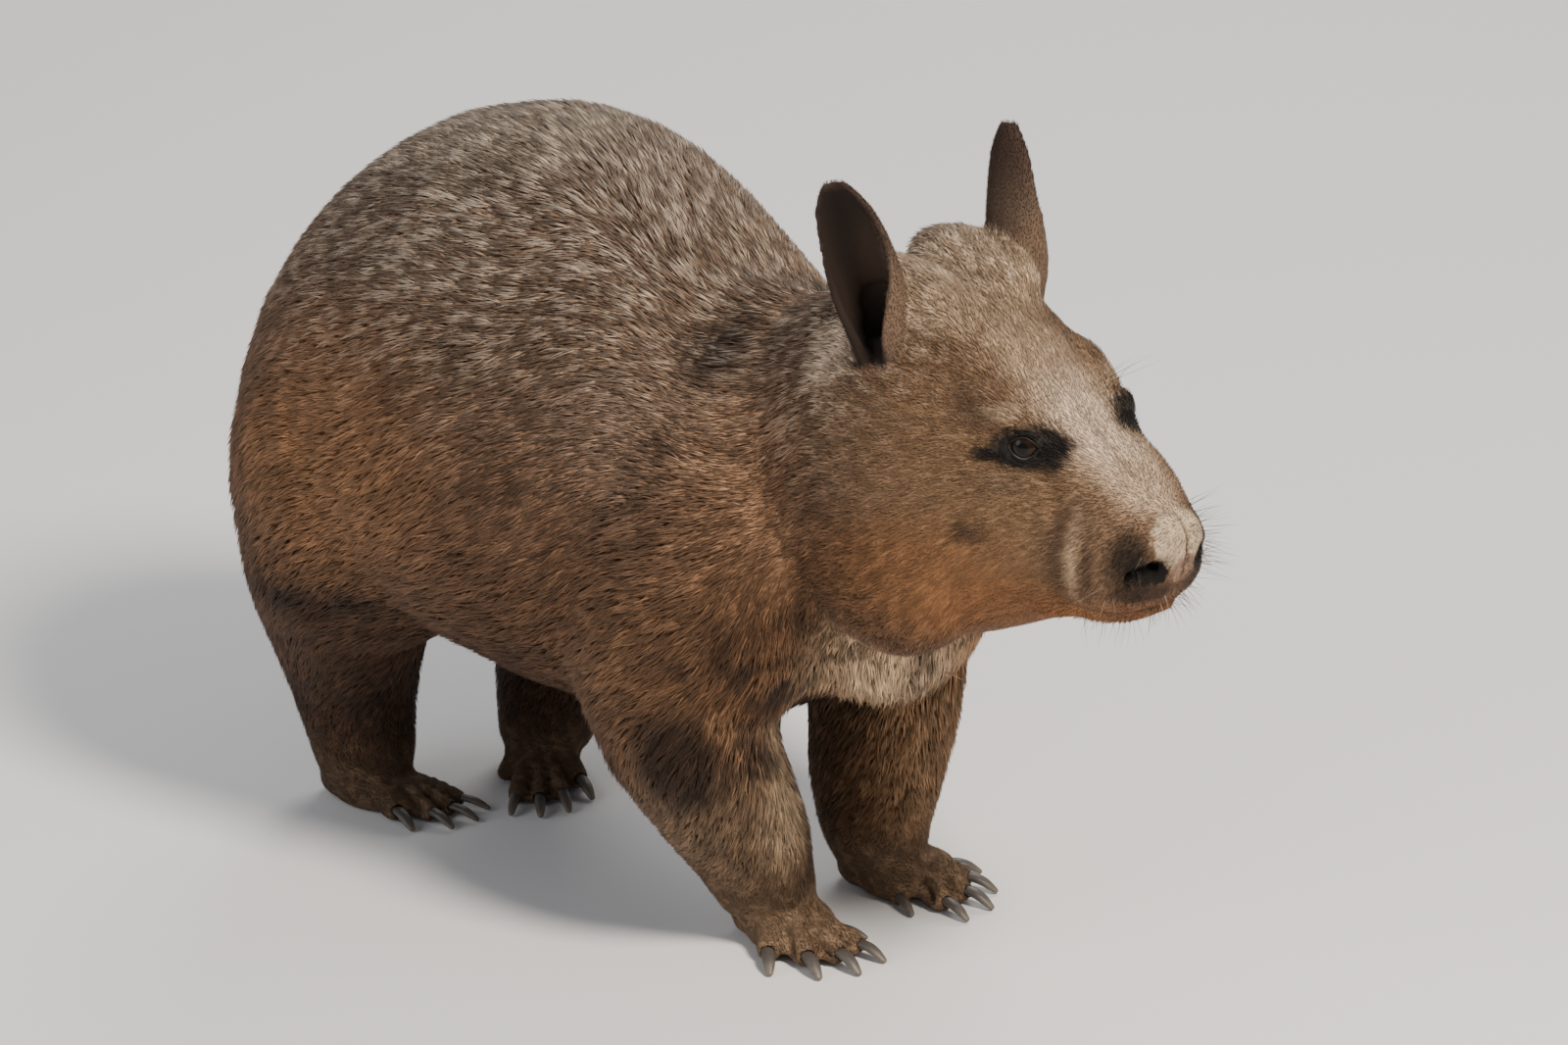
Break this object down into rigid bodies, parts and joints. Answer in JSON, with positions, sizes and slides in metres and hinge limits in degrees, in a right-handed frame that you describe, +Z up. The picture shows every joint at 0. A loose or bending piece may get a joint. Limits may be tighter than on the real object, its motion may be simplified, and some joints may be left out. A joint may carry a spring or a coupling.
{
  "type": "southern hairy-nosed wombat, standing",
  "caption": "Life-size still model of a standing hairy-nosed wombat with arched back, upright ears, broad hairy nose and digging claws.",
  "frame": {"origin": "on the floor, under the middle of the animal's bounding box", "axes": "+X towards the nose, +Y to the animal's left, +Z up"},
  "size_m": [0.6646, 0.3112, 0.4716],
  "materials": {
    "coat_body": "dense grizzled grey-brown fur",
    "coat_head": "short tan and grey fur, cream nose pad",
    "coat_legs": "short dark brown fur",
    "coat_feet": "very short brown fur over skin",
    "ear_skin": "thin skin with fine dark fur",
    "eyes": "wet gloss",
    "claws": "satin slate-grey horn"
  },
  "bodies": {
    "root": {"torso": "coat_body", "neck": "coat_body", "head": "coat_head", "foreleg_right": "coat_legs", "foreleg_left": "coat_legs", "hindleg_right": "coat_legs", "hindleg_left": "coat_legs", "forefoot_right": "coat_feet", "forefoot_left": "coat_feet", "hindfoot_right": "coat_feet", "hindfoot_left": "coat_feet", "tail": "coat_body", "ear_right": "ear_skin", "ear_left": "ear_skin", "eye_right": "eyes", "eye_left": "eyes", "claw_fore_right_1": "claws", "claw_fore_right_2": "claws", "claw_fore_right_3": "claws", "claw_fore_right_4": "claws", "claw_fore_right_5": "claws", "claw_fore_left_1": "claws", "claw_fore_left_2": "claws", "claw_fore_left_3": "claws", "claw_fore_left_4": "claws", "claw_fore_left_5": "claws", "claw_hind_right_1": "claws", "claw_hind_right_2": "claws", "claw_hind_right_3": "claws", "claw_hind_right_4": "claws", "claw_hind_left_1": "claws", "claw_hind_left_2": "claws", "claw_hind_left_3": "claws", "claw_hind_left_4": "claws"}
  },
  "joints": []
}
